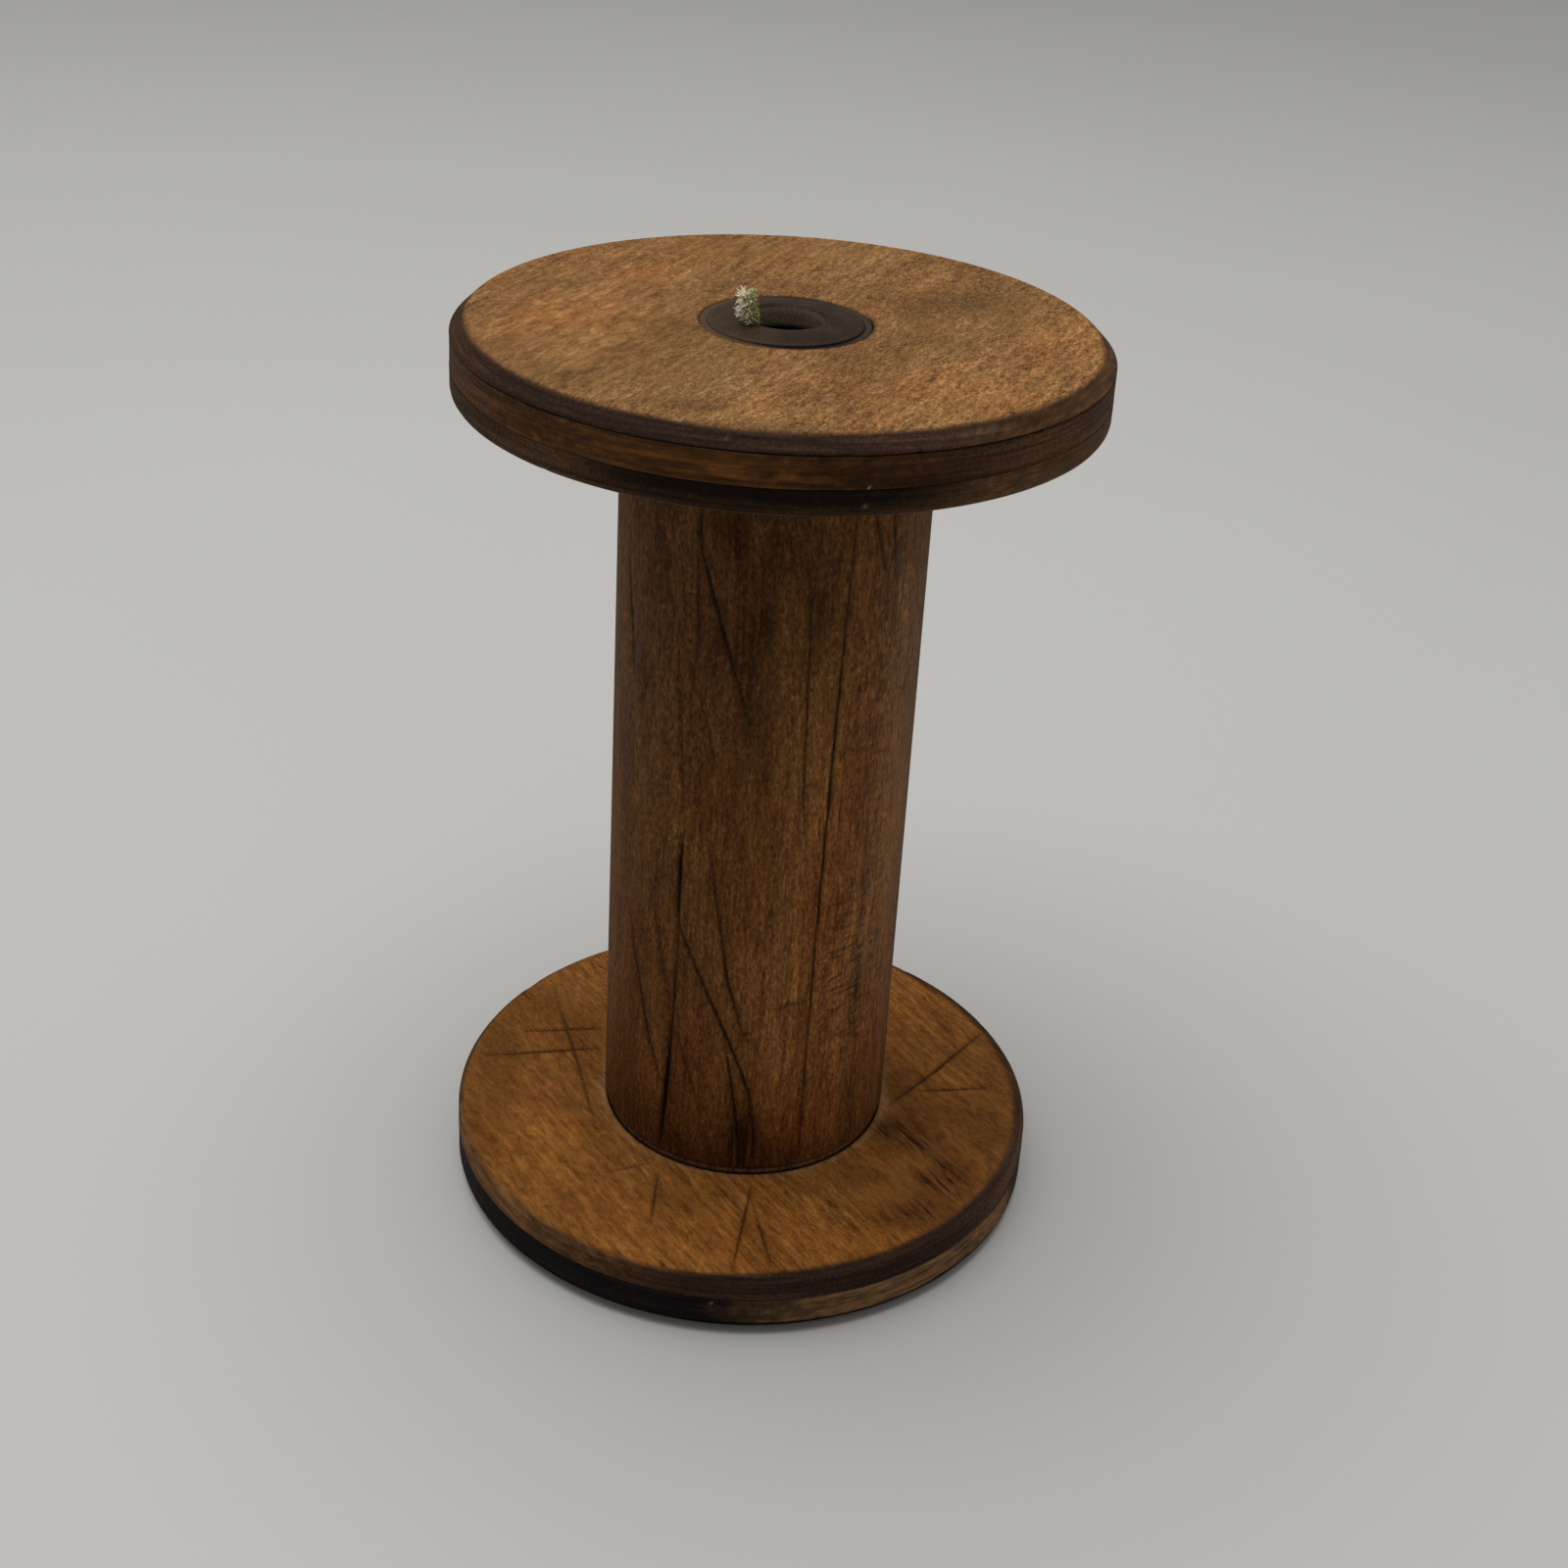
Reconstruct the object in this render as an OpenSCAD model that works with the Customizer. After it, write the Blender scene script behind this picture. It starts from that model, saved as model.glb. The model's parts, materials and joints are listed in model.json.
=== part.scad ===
// Wooden mill bobbin: a turned barrel between two heads, each head glued up
// from three plies with crossed grain, with an iron spindle bush let into each end.
// It stands on its lower head, its axis along Z, the origin in the middle of the foot.

/* [Heads] */
// Diameter of both heads
head_d = 152.4; // [130:0.1:180]
// Thickness of the outer ply, which carries the bush flange
outer_ply_t = 3.7; // [3.2:0.1:6]
// Thickness of the middle ply
middle_ply_t = 7.3; // [4:0.1:12]
// Thickness of the inner ply, which faces the yarn
inner_ply_t = 6.3; // [5:0.1:12]
// Radial width of the bevel round the outer ply
outer_bevel_w = 3.4; // [1:0.1:6]
// Upright rim left below that bevel
outer_rim_land = 0.4; // [0.2:0.1:1]
// Radius that rounds the edge towards the yarn
inner_edge_r = 2; // [0.5:0.1:3.5]

/* [Barrel] */
// Distance between the inner faces of the heads
traverse = 197.8; // [120:0.1:260]
// Diameter of the barrel
barrel_d = 74.6; // [68:0.1:90]
// Step in radius from the barrel to its neck
neck_inset = 0.9; // [0.4:0.1:2]
// Height of neck that shows between barrel and head
neck_gap = 2.3; // [1:0.1:4]
// Depth to which the neck is let into the inner ply
socket_depth = 2.5; // [1:0.1:4]
// Radial clearance of the neck in its socket
socket_fit = 0.4; // [0.2:0.05:0.8]
// Diameter of the spigot that the two inner plies are glued to
spigot_d = 50; // [46:0.1:60]
// Radial glue clearance round the spigot
spigot_fit = 0.1; // [0.05:0.01:0.3]
// Radial room between the spindle and the hole through the barrel
pilot_room = 2; // [1:0.1:2.8]

/* [Bushes] */
// Diameter of the spindle hole
bore_d = 17.5; // [12:0.1:19]
// Radius that rounds the mouth of the hole
mouth_r = 1.8; // [0.6:0.1:2.2]
// Diameter of the flange
flange_d = 39.7; // [34:0.1:42]
// Height of the domed lip above the rim of the flange
lip_rise = 1.5; // [1:0.1:2.2]
// Radius of curvature of the dome between lip and rim
dome_r = 30; // [15:0.5:80]
// Width of the flat rim round the dome
rim_w = 1.7; // [0.5:0.1:3]
// Height of the step from the rim up to the dome
rim_step = 0.25; // [0.1:0.05:0.5]
// Depth of the upper rim below the wood
upper_sink = 0.3; // [0.1:0.1:1]
// Depth of the lower rim below the wood, so that the bobbin stands on its head
lower_sink = 2.5; // [2.2:0.1:4]
// Thickness of the flange at its rim
flange_t = 3.4; // [2:0.1:5]
// Outside diameter of the sleeve
sleeve_d = 24; // [23:0.1:30]
// Length of the sleeve below the flange
sleeve_len = 22; // [10:0.5:40]
// Radial clearance of the bush in the wood
bush_fit = 0.1; // [0.05:0.01:0.3]
// Room left beyond the end of the sleeve
sleeve_end_room = 0.5; // [0.2:0.1:2]

/* [Yarn tuft] */
// Width of the tuft at its foot
tuft_w = 4.8; // [3:0.1:6]
// Width of the tuft at its head
tuft_top_w = 4.4; // [2:0.1:6]
// Height of the tuft
tuft_h = 8; // [7:0.1:14]
// Direction of the tuft round the hole
tuft_azimuth = 216; // [0:1:359]
// Gap between the tuft and the lip that it lies on, and the spindle's path
tuft_room = 0.2; // [0.1:0.05:0.4]

/* [Hidden] */
$fn = 96;
eps = 0.01;

head_r = head_d / 2;
head_t = outer_ply_t + middle_ply_t + inner_ply_t;
overall_h = traverse + 2 * head_t;
glue_line = outer_ply_t + middle_ply_t;

barrel_r = barrel_d / 2;
neck_r = barrel_r - neck_inset;
spigot_r = spigot_d / 2;
spigot_hole_r = spigot_r + spigot_fit;
socket_r = neck_r + socket_fit;
socket_floor = head_t - socket_depth;

bore_r = bore_d / 2;
flange_r = flange_d / 2;
flange_hole_r = flange_r + bush_fit;
sleeve_r = sleeve_d / 2;
sleeve_hole_r = sleeve_r + bush_fit;
pilot_r = bore_r + pilot_room;
crest_r = bore_r + mouth_r;
dome_foot_r = flange_r - rim_w;
dome_foot_z = -rim_step;

tuft_foot_r = tuft_w / 2;
tuft_top_r = tuft_top_w / 2;
tuft_axis_r = bore_r + tuft_room + max(tuft_foot_r, tuft_top_r);

wood_top = "#a0683a";
wood_rim = "#5e4030";
wood_face = "#9a6236";
wood_barrel = "#6b4527";
iron = "#4b4542";
yarn = "#ddd6b4";

// Centre of an arc of radius r from p to q, on the left of that chord
function arc_centre(p, q, r) =
    let (chord = q - p, half = norm(chord) / 2, normal = [-chord.y, chord.x] / norm(chord))
    (p + q) / 2 + normal * sqrt(r * r - half * half);

// A head is drawn with its outer face at z = 0 and the barrel towards +Z,
// which is how the lower one stands. The upper one is its mirror image.
module at_upper_head() {
    translate([0, 0, overall_h]) mirror([0, 0, 1]) children();
}

module ring(inner_r, outer_r, z, h) {
    translate([0, 0, z]) difference() {
        cylinder(r = outer_r, h = h);
        translate([0, 0, -eps]) cylinder(r = inner_r, h = h + 2 * eps);
    }
}

// Counterbore for the flange and hole for the sleeve, from the outer face inwards
module bush_seat(sink) {
    seat_z = sink + flange_t;
    translate([0, 0, -eps]) cylinder(r = flange_hole_r, h = seat_z + eps);
    translate([0, 0, seat_z - eps]) cylinder(r = sleeve_hole_r, h = sleeve_len + sleeve_end_room + eps);
}

// Outer ply: bevelled down to a narrow upright rim
module outer_ply(sink) {
    difference() {
        rotate_extrude() polygon([
            [0, 0],
            [head_r - outer_bevel_w, 0],
            [head_r, outer_ply_t - outer_rim_land],
            [head_r, outer_ply_t],
            [0, outer_ply_t]
        ]);
        bush_seat(sink);
    }
}

module middle_ply() {
    ring(spigot_hole_r, head_r, outer_ply_t, middle_ply_t);
}

// Inner ply: rounded towards the yarn, with a shallow socket for the neck of the barrel
module inner_ply() {
    difference() {
        rotate_extrude() translate([0, glue_line]) {
            square([head_r, inner_ply_t - inner_edge_r]);
            square([head_r - inner_edge_r, inner_ply_t]);
            translate([head_r - inner_edge_r, inner_ply_t - inner_edge_r]) circle(r = inner_edge_r);
        }
        translate([0, 0, glue_line - eps]) cylinder(r = spigot_hole_r, h = inner_ply_t + 2 * eps);
        translate([0, 0, socket_floor]) cylinder(r = socket_r, h = socket_depth + eps);
    }
}

// Half of the barrel's outside: spigot, neck and body, up to the middle of the traverse
module barrel_half() {
    translate([0, 0, outer_ply_t]) cylinder(r = spigot_r, h = overall_h / 2 - outer_ply_t);
    translate([0, 0, socket_floor]) cylinder(r = neck_r, h = overall_h / 2 - socket_floor);
    translate([0, 0, head_t + neck_gap]) cylinder(r = barrel_r, h = overall_h / 2 - head_t - neck_gap);
}

// Bush: a sleeve under a flange whose face swells from a flat rim to a rounded lip
module bush(sink) {
    crest = [crest_r, -lip_rise];
    dome_foot = [dome_foot_r, dome_foot_z];
    dome_centre = arc_centre(crest, dome_foot, dome_r);
    translate([0, 0, sink]) rotate_extrude() {
        translate([bore_r, mouth_r - lip_rise])
            square([sleeve_r - bore_r, lip_rise - mouth_r + flange_t + sleeve_len]);
        translate([crest_r, mouth_r - lip_rise]) circle(r = mouth_r);
        translate([crest_r, 0]) square([flange_r - crest_r, flange_t]);
        intersection() {
            translate([crest_r, -lip_rise]) square([dome_foot_r - crest_r, lip_rise + flange_t]);
            translate(dome_centre) circle(r = dome_r);
        }
    }
}

module barrel() {
    color(wood_barrel) difference() {
        union() {
            barrel_half();
            at_upper_head() barrel_half();
        }
        bush_seat(lower_sink);
        at_upper_head() bush_seat(upper_sink);
        cylinder(r = pilot_r, h = overall_h);
    }
}

module upper_outer_ply() {
    color(wood_top) at_upper_head() outer_ply(upper_sink);
}

module upper_middle_ply() {
    color(wood_rim) at_upper_head() middle_ply();
}

module upper_inner_ply() {
    color(wood_face) at_upper_head() inner_ply();
}

module lower_inner_ply() {
    color(wood_face) inner_ply();
}

module lower_middle_ply() {
    color(wood_rim) middle_ply();
}

module lower_outer_ply() {
    color(wood_top) outer_ply(lower_sink);
}

module upper_bush() {
    color(iron) at_upper_head() bush(upper_sink);
}

module lower_bush() {
    color(iron) bush(lower_sink);
}

// Frayed end of yarn caught on the lip of the upper hole
module yarn_tuft() {
    foot_z = overall_h - upper_sink + lip_rise + tuft_room;
    color(yarn) rotate(tuft_azimuth) translate([tuft_axis_r, 0, foot_z]) {
        translate([0, 0, tuft_foot_r]) sphere(r = tuft_foot_r);
        translate([0, 0, tuft_foot_r])
            cylinder(r1 = tuft_foot_r, r2 = tuft_top_r, h = tuft_h - tuft_foot_r - tuft_top_r);
        translate([0, 0, tuft_h - tuft_top_r]) sphere(r = tuft_top_r);
    }
}

barrel();
upper_outer_ply();
upper_middle_ply();
upper_inner_ply();
lower_inner_ply();
lower_middle_ply();
lower_outer_ply();
upper_bush();
lower_bush();
yarn_tuft();
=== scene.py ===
import json
import math

import bpy
import numpy as np
from mathutils import Matrix, Vector


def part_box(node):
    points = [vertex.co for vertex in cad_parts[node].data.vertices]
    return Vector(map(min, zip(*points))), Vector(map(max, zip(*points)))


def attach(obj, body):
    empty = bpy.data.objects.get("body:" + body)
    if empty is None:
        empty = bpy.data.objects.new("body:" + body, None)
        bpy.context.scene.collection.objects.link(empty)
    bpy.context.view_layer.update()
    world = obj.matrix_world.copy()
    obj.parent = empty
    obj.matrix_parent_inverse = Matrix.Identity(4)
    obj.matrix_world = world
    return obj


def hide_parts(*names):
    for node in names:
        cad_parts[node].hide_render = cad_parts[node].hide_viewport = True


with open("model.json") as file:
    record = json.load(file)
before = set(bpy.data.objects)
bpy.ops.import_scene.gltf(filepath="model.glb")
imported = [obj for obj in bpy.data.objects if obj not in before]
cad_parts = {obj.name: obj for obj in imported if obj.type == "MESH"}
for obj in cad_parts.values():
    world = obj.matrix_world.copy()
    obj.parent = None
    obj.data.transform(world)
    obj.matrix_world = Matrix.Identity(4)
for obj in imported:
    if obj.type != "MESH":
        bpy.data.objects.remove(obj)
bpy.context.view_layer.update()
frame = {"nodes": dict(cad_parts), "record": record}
mm = 0.001
print("frame loaded:", len(frame["nodes"]), "nodes")


# Levels and radii of the turned pieces, in mm, read from the frame

def turnedSize(node):
    low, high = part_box(node)
    return high.x / mm, low.z / mm, high.z / mm  # radius, bottom, top


headR, outerSeam, topFace = turnedSize("upper_outer_ply")
middleSeam = turnedSize("upper_middle_ply")[1]
innerFace = turnedSize("upper_inner_ply")[1]
barrelR, barrelFoot, barrelHead = turnedSize("barrel")
flangeR, bushEnd, bushCrest = turnedSize("upper_bush")
lowerBushCrest, lowerBushEnd = turnedSize("lower_bush")[1:]
boreR = frame["record"]["mounts"][0]["dims"]["r_mm"]
outerDepth = topFace - outerSeam
middleDepth = topFace - middleSeam
innerDepth = topFace - innerFace

# How the pieces are let into each other, in mm
joinery = {
    "spigotR": 25, "spigotHoleR": 25.1,
    "neckInset": 0.9, "neckGap": 2.3, "socketDepth": 2.5, "socketFit": 0.4,
    "bushFit": 0.1, "sleeveR": 12, "pilotRoom": 2, "endRoom": 0.5,
    "outerBevel": 3.4, "rimLand": 0.4, "innerEdgeR": 2,
    "flangeT": 3.4, "lipRise": 1.5, "mouthR": 1.8, "rimW": 1.7, "rimStep": 0.25, "domeR": 30,
}
flangeHoleR = flangeR + joinery["bushFit"]
sleeveHoleR = joinery["sleeveR"] + joinery["bushFit"]
pilotR = boreR + joinery["pilotRoom"]
neckR = barrelR - joinery["neckInset"]
socketR = neckR + joinery["socketFit"]
socketFloor = innerDepth - joinery["socketDepth"]


# Meshes

def placed(name, data):
    piece = bpy.data.objects.new(name, data)
    bpy.context.scene.collection.objects.link(piece)
    return piece


def carry(mesh, marks):
    # every mark is one number at each point
    for key, values in marks.items():
        layer = mesh.attributes.new(key, "FLOAT", "POINT")
        layer.data.foreach_set("value", np.ascontiguousarray(values, np.float32).ravel())


def gridObject(name, points, marks):
    # points[i, j] runs along a closed outline and round a full turn; four neighbours make a face
    rows, cols = points.shape[:2]
    index = np.arange(rows * cols).reshape(rows, cols)
    right = np.roll(index, -1, 1)
    faces = np.stack([index, right, np.roll(right, -1, 0), np.roll(index, -1, 0)], -1).reshape(-1, 4)
    mesh = bpy.data.meshes.new(name)
    mesh.vertices.add(index.size)
    mesh.vertices.foreach_set("co", np.ascontiguousarray(points * mm, np.float32).ravel())
    mesh.loops.add(faces.size)
    mesh.loops.foreach_set("vertex_index", np.ascontiguousarray(faces, np.int32).ravel())
    mesh.polygons.add(len(faces))
    mesh.polygons.foreach_set("loop_start", np.arange(0, faces.size, 4, dtype=np.int32))
    mesh.polygons.foreach_set("use_smooth", np.ones(len(faces), bool))
    carry(mesh, marks)
    mesh.update(calc_edges=True)
    mesh.validate()
    return placed(name, mesh)


def againstClock(corners):
    # an outline with a negative area is turned round, and each step stays with its own side
    r, z = np.array([corner[:2] for corner in corners], float).T
    if np.sum(r * np.roll(z, -1) - np.roll(r, -1) * z) > 0:
        return corners
    steps = [corner[3] for corner in corners]
    back = corners[::-1]
    return [(*corner[:3], steps[len(back) - 2 - k]) for k, corner in enumerate(back)]


def roundedLoop(corners, arcSteps):
    # each corner (radius, level, rounding, step) turns into an arc tangent to its two sides,
    # and the side after it is cut into steps of that length; returns points and outward normals
    corners = againstClock(corners)
    tips = np.array([corner[:2] for corner in corners], float)
    turn = np.linspace(0, 1, arcSteps)[:, None]
    arcs = []
    for k, (_, _, rounding, _) in enumerate(corners):
        back = tips[k - 1] - tips[k]
        ahead = tips[(k + 1) % len(corners)] - tips[k]
        back /= np.linalg.norm(back)
        ahead /= np.linalg.norm(ahead)
        half = math.acos(np.clip(back @ ahead, -1, 1)) / 2
        sweep = math.pi - 2 * half
        reach = rounding / math.tan(half)
        centre = tips[k] + (back + ahead) / np.linalg.norm(back + ahead) * rounding / math.sin(half)
        start = tips[k] + back * reach - centre
        end = tips[k] + ahead * reach - centre
        bow = np.sin((1 - turn) * sweep) * start + np.sin(turn * sweep) * end
        arcs.append(centre + bow / math.sin(sweep))
    runs = []
    for k, arc in enumerate(arcs):
        gap = arcs[(k + 1) % len(arcs)][0] - arc[-1]
        count = max(int(np.linalg.norm(gap) / corners[k][3]), 1)
        share = np.linspace(0, 1, count + 1)[1:-1, None]
        runs += [arc, arc[-1] + gap * share]
    loop = np.concatenate(runs)
    along = np.roll(loop, -1, 0) - np.roll(loop, 1, 0)
    along /= np.linalg.norm(along, axis=1)[:, None]
    return loop[:, 0], loop[:, 1], along[:, 1], -along[:, 0]


def turnAngles(count, crowd=0.0):
    # even steps of a turn from the front; the tangents of half angles shrink by crowd, so the front has more
    turn = (np.arange(count) + 0.5) / count - 0.5
    return 2 * np.arctan((1 - crowd) * np.tan(math.pi * turn))


def turned(name, corners, angles, wear, arcSteps=5):
    # the rounded outline goes round the axis, and wear(r, z, angle) sinks the surface along its normal
    r, z, normalR, normalZ = (column[:, None] for column in roundedLoop(corners, arcSteps))
    angle = angles[None, :]
    depth, marks = wear(r, z, angle)
    depth = np.broadcast_to(depth, (len(r), len(angles)))
    wornR = r - depth * normalR
    wornZ = z - depth * normalZ
    points = np.stack([wornR * np.sin(angle), -wornR * np.cos(angle), wornZ], -1)
    marks = {key: np.broadcast_to(values, depth.shape) for key, values in marks.items()}
    return gridObject(name, points, marks)


# Wear: every mark is a formula on whole arrays

# strokes, in shares: width at the ends, soft edge, where the tone is full
strokeLook = {"endShare": 0.35, "edgeTone": 0.3, "edgeWidth": 2.2, "fullTone": 0.4}
# dents on one rim: sizes in mm, share of the size across the rim, least share of the depth
rimDents = {"count": 70, "size": (0.5, 2.2), "across": 0.6, "depth": 0.28, "least": 0.25}


def smoothStep(value, low, high):
    # cubic step from 0 at low to 1 at high
    t = np.clip((value - low) / (high - low), 0, 1)
    return t * t * (3 - 2 * t)


def bell(value, centre, width):
    # 1 at the centre, falling off as a Gauss curve
    return np.exp(-((value - centre) / width) ** 2)


def towards(angle, turn, band):
    # smooth step of the cosine of the angle from the side at turn
    return smoothStep(np.cos(angle - turn), *band)


def spots(u, v, places):
    # sum of soft round spots: (u, v, half width, half height, strength)
    total = 0
    for u0, v0, width, height, strength in places:
        total = total + strength * np.exp(-((u - u0) / width) ** 2 - ((v - v0) / height) ** 2)
    return total


def strokes(u, v, lines):
    # a line (points, half width, depth, shade) is a V groove along its points, thin at both ends
    look = strokeLook
    sunk = np.zeros(np.broadcast(u, v).shape)
    shade = np.zeros_like(sunk)
    for path, width, depth, tone in lines:
        path = np.array(path, float)
        steps = np.diff(path, axis=0)
        lengths = np.linalg.norm(steps, axis=1)
        starts = np.concatenate([[0], np.cumsum(lengths)])
        for (u0, v0), (du, dv), begun, length in zip(path, steps, starts, lengths):
            t = np.clip(((u - u0) * du + (v - v0) * dv) / length ** 2, 0, 1)
            away = np.hypot(u - u0 - t * du, v - v0 - t * dv)
            share = (begun + t * length) / starts[-1]
            bulge = np.sqrt(np.clip(4 * share * (1 - share), 0, 1))
            taper = look["endShare"] + (1 - look["endShare"]) * bulge
            body = np.clip(1 - away / (width * taper), 0, 1)
            sunk = np.maximum(sunk, depth * taper * body)
            edge = look["edgeTone"] * np.exp(-(away / (look["edgeWidth"] * width)) ** 2)
            shade = np.maximum(shade, tone * taper * np.maximum(smoothStep(body, 0, look["fullTone"]), edge))
    return sunk, shade


def ripple(angle, seed, waves, first=2):
    # smooth noise round a turn: cosines of rising order with falling weight and seeded phases
    rng = np.random.default_rng(seed)
    orders = first + np.arange(waves)
    phases = rng.uniform(0, 2 * math.pi, waves)
    return sum(np.cos(n * angle + p) / math.sqrt(n) for n, p in zip(orders, phases)) / math.sqrt(waves / 2)


def waver(angle, mean, swing, seed, waves, first=2, least=0):
    # ripple round a mean, kept between least and 1
    return np.clip(mean + swing * ripple(angle, seed, waves, first), least, 1)


def dents(angle, depth, seed):
    # seeded small hollows on a rim, placed by angle and by depth from the head's outer face
    rng = np.random.default_rng(seed)
    size = rimDents["size"]
    places = [
        (rng.uniform(-math.pi, math.pi), rng.uniform(0, innerDepth), rng.uniform(*size) / headR,
         rng.uniform(*size) * rimDents["across"], rng.uniform(rimDents["least"], 1) * rimDents["depth"])
        for _ in range(rimDents["count"])
    ]
    return spots(angle, depth, places)


# Shader maths: one class wraps a socket, so that a formula on sockets reads as plain arithmetic

class Wire:
    def __init__(self, tree, socket):
        self.tree = tree
        self.socket = socket

    def node(self, kind, settings=None, inputs=None, output=0):
        made = self.tree.nodes.new(kind)
        for key, value in (settings or {}).items():
            if key == "stops":
                ramp = made.color_ramp
                while len(ramp.elements) < len(value):
                    ramp.elements.new(0.5)
                for element, (place, colour) in zip(ramp.elements, value):
                    element.position = place
                    element.color = colour
            else:
                setattr(made, key, value)
        for key, value in (inputs or {}).items():
            if isinstance(value, Wire):
                self.tree.links.new(value.socket, made.inputs[key])
            else:
                made.inputs[key].default_value = value
        return Wire(self.tree, made.outputs[output])

    def maths(self, operation, first, second, clamp=False):
        settings = {"operation": operation, "use_clamp": clamp}
        return self.node("ShaderNodeMath", settings, {0: first, 1: second})

    def __add__(self, other):
        return self.maths("ADD", self, other)

    def __sub__(self, other):
        return self.maths("SUBTRACT", self, other)

    def __rsub__(self, other):
        return self.maths("SUBTRACT", other, self)

    def __mul__(self, other):
        return self.maths("MULTIPLY", self, other)

    __radd__ = __add__
    __rmul__ = __mul__

    def vector(self, operation, inputs, output=0):
        return self.node("ShaderNodeVectorMath", {"operation": operation}, {0: self, **inputs}, output)

    def band(self, low, high, start=0.0, end=1.0):
        # smooth step from start to end while the value goes from low to high
        settings = {"interpolation_type": "SMOOTHSTEP"}
        return self.node("ShaderNodeMapRange", settings, {0: self, 1: low, 2: high, 3: start, 4: end})

    def ramp(self, stops):
        return self.node("ShaderNodeValToRGB", {"stops": stops}, {0: self})

    def between(self, first, second):
        # a colour from first to second while the value goes from 0 to 1
        return self.node("ShaderNodeMix", {"data_type": "RGBA"}, {0: self, 6: first, 7: second}, 2)

    def blend(self, other, share, how="MIX"):
        settings = {"data_type": "RGBA", "blend_type": how}
        return self.node("ShaderNodeMix", settings, {0: share, 6: self, 7: other}, 2)

    def bump(self, strength, depth):
        inputs = {"Strength": strength, "Distance": depth * mm, "Height": self}
        return self.node("ShaderNodeBump", None, inputs)


def tint(red, green, blue):
    # screen colour, 0 to 255, as the linear colour that a shader takes
    share = np.array([red, green, blue]) / 255
    linear = np.where(share <= 0.04045, share / 12.92, ((share + 0.055) / 1.055) ** 2.4)
    return (*linear.tolist(), 1.0)


def newMaterial(name, **fixed):
    # a material with its shader, its fixed socket values, and a wire to start formulas from
    material = bpy.data.materials.new(name)
    material.use_nodes = True
    tree = material.node_tree
    shader = tree.nodes["Principled BSDF"]
    for key, value in fixed.items():
        shader.inputs[key].default_value = value
    place = Wire(tree, tree.nodes.new("ShaderNodeTexCoord").outputs["Object"])
    return material, shader, place


def feed(shader, socket, wire):
    wire.tree.links.new(wire.socket, shader.inputs[socket])


def mark(place, name):
    # a mark that the mesh carries
    return place.node("ShaderNodeAttribute", {"attribute_name": name}, output=2)


def noise(place, turn, size, detail=2.0, rough=0.5, shift=0.0, twist=0.0):
    # noise whose grains have the given size in mm along the turned axes, curled by twist
    settings = {"vector_type": "TEXTURE"}
    spread = [s * mm for s in size]
    laid = place.node("ShaderNodeMapping", settings, {0: place, 1: (shift, shift, shift), 2: turn, 3: spread})
    inputs = {"Vector": laid, "Scale": 1.0, "Detail": detail, "Roughness": rough, "Distortion": twist}
    return laid.node("ShaderNodeTexNoise", None, inputs)


# Old wood: how its layers are mixed
woodMix = {
    "middle": 0.5, "layerRough": 0.6, "layerShift": 0.1, "plyShift": (1.3, 0.7),
    # further noises: detail, roughness, shift, curl
    "mottle": (2, 0.6, 0.5, 1.2), "warm": (2, 0.5, 0.6, 0), "lines": (3, 0.6, 0.7, 0),
    "pores": (2, 0.6, 0.8, 0), "dash": (1, 0.5, 0.9, 0),
    "warmBand": (0.42, 0.66), "dashBand": (0.5, 0.64), "grimeBand": (0.38, 0.6),
    "cutBand": (0.2, 0.5, 0.7, 1.0), "scuffBand": (0.35, 0.6, 0.3, 1.0),
    # rims: sizes in mm; shares of lines and pores at the ends, of streaks, lines and flecks at the sides
    "lineSize": (30, 30, 0.8), "poreSize": (0.7, 0.7, 0.7), "endMix": (0.6, 0.4), "sideMix": (0.5, 0.3, 0.2),
    "borderWaver": 0.5,
    # shares of streaks, flecks, soil and scuffs in the roughness, of flecks, fibre and streaks in the bump
    "sheenMix": (0.3, 0.3, 0.1, 0.2), "sheenTop": 0.95, "heightMix": (0.5, 0.3, 0.4), "bumpDepth": 0.3,
}


def mixed(parts, shares, start=0):
    # start plus every part times its share
    for part, share in zip(parts, shares):
        start = start + part * share
    return start


def rimColour(place, look, layers, grains):
    # the rim's tone goes from side grain to end grain as its direction turns along the grain
    mix = woodMix
    broad, streak, fleck, _ = layers
    facing = place.vector("MULTIPLY", {1: (1, 1, 0)}).vector("NORMALIZE", {})
    dot = facing.vector("DOT_PRODUCT", {1: (math.cos(look["grain"]), math.sin(look["grain"]), 0)}, 1)
    ends = (dot * dot + (broad - mix["middle"]) * mix["borderWaver"]).band(*look["endBand"])
    lines = grains("lines", mix["lineSize"], (0, 0, 0))
    pores = grains("pores", mix["poreSize"], (0, 0, 0))
    endTone = mixed((lines, pores), mix["endMix"]).ramp(look["rimEnds"])
    sideTone = mixed((streak, lines, fleck), mix["sideMix"]).ramp(look["rimSides"])
    # the lift mark scales the rim's colour up as painted light
    return sideTone.blend(endTone, ends).vector("SCALE", {"Scale": mark(place, "lift") + 1})


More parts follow.
